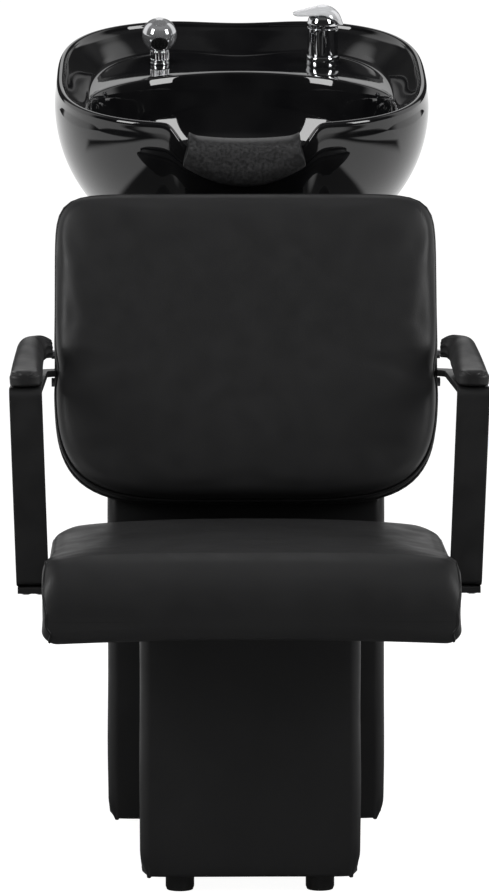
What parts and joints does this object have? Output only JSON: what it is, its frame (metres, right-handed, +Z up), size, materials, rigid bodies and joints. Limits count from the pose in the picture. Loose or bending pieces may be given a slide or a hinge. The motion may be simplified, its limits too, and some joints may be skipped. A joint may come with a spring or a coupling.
{
  "type": "salon wash unit",
  "caption": "Backwash chair: black vinyl seat and leaning backrest with flat steel arms, before a tilting glossy black ceramic bowl with mixer and hand spray on an upholstered pedestal.",
  "frame": {"origin": "middle of the overall footprint, on the floor", "axes": "+X to the right seen from the front, +Y from the seat towards the bowl, +Z up"},
  "size_m": [0.5838, 1.1852, 1.0425],
  "materials": {
    "plywood": "birch plywood, raw",
    "vinyl": "matte black vinyl with a fine grain",
    "lining": "black vinyl wrapped under the seat board",
    "zinc_steel": "zinc plated",
    "black_steel": "satin black powder coat",
    "foot_rubber": "moulded black rubber",
    "neck_rubber": "soft dark rubber with a mottled face",
    "knob_plastic": "moulded black",
    "glazed_ceramic": "glossy black glaze",
    "chrome": "polished chrome",
    "cartridge_plastic": "moulded",
    "brass": "turned",
    "jet_rubber": "black rubber jets"
  },
  "bodies": {
    "chair": {"front_box_carcass": "plywood", "front_box_cover": "vinyl", "rear_box_sides": "plywood", "rear_box_front_boards": "plywood", "rear_box_top_board": "plywood", "rear_box_floor": "plywood", "rear_box_rails": "plywood", "rear_box_cover": "vinyl", "box_bolts": "zinc_steel", "feet": "foot_rubber", "panel_magnets": "zinc_steel", "panel_ledge": "black_steel", "seat_board": "lining", "seat_cushion": "vinyl", "cross_bar": "black_steel", "seat_spacer": "plywood", "seat_bolts": "zinc_steel", "left_arm_bar": "black_steel", "right_arm_bar": "black_steel", "left_arm_pad": "vinyl", "right_arm_pad": "vinyl", "arm_pad_screws": "zinc_steel", "arm_bolts": "zinc_steel", "back_board": "plywood", "back_cushion": "vinyl", "back_shell": "vinyl", "back_spacers": "black_steel", "back_bolts": "zinc_steel", "bowl_bracket": "black_steel", "bracket_screws": "zinc_steel", "pivot_pins": "zinc_steel"},
    "bowl_assembly": {"bowl": "glazed_ceramic", "neck_rest": "neck_rubber", "bowl_pads": "foot_rubber", "bowl_cradle": "black_steel", "cradle_bolts": "zinc_steel", "drain_flange": "chrome", "drain_gasket": "foot_rubber", "drain_nut": "zinc_steel", "drain_tailpiece": "chrome", "mixer_base_ring": "chrome", "mixer_body": "chrome", "mixer_cartridge": "cartridge_plastic", "mixer_gasket": "foot_rubber", "mixer_nut": "brass", "mixer_inlets": "brass", "spray_holder": "chrome", "spray_nut": "brass"},
    "mixer_turner": {"mixer_cap": "chrome", "lever_pin": "zinc_steel"},
    "lever": {"mixer_lever": "chrome"},
    "hand_spray": {"spray_head": "chrome", "spray_face": "jet_rubber", "spray_collar": "chrome", "spray_hose_nut": "chrome"},
    "strainer": {"drain_strainer": "chrome"},
    "lock_knob": {"tilt_knob": "knob_plastic"},
    "rear_panel": {"access_panel": "vinyl"}
  },
  "joints": [
    {"name": "bowl_tilt", "type": "hinge", "parent": "chair", "child": "bowl_assembly", "pos_m": [0, 0.3108, 0.70052], "axis": [1, 0, 0], "range_deg": [-11, 6]},
    {"name": "mixer_turn", "type": "hinge", "parent": "bowl_assembly", "child": "mixer_turner", "pos_m": [0.115, 0.48693, 1.01031], "axis": [0, -0.1908, 0.9816], "range_deg": [-50, 50]},
    {"name": "mixer_lift", "type": "hinge", "parent": "mixer_turner", "child": "lever", "pos_m": [0.115, 0.48616, 1.01424], "axis": [0, 0.9816, 0.1908], "range_deg": [0, 20]},
    {"name": "spray_lift", "type": "slide", "parent": "bowl_assembly", "child": "hand_spray", "axis": [0, -0.1908, 0.9816], "range_m": [0, 0.15]},
    {"name": "strainer_lift", "type": "slide", "parent": "bowl_assembly", "child": "strainer", "axis": [0, -0.1908, 0.9816], "range_m": [0, 0.06]},
    {"name": "lock_turn", "type": "hinge", "parent": "bowl_assembly", "child": "lock_knob", "pos_m": [0.09, 0.34472, 0.70289], "axis": [1, 0, 0], "range_deg": [0, 180]},
    {"name": "panel_pull", "type": "slide", "parent": "chair", "child": "rear_panel", "axis": [0, 1, 0], "range_m": [0, 0.2]}
  ]
}
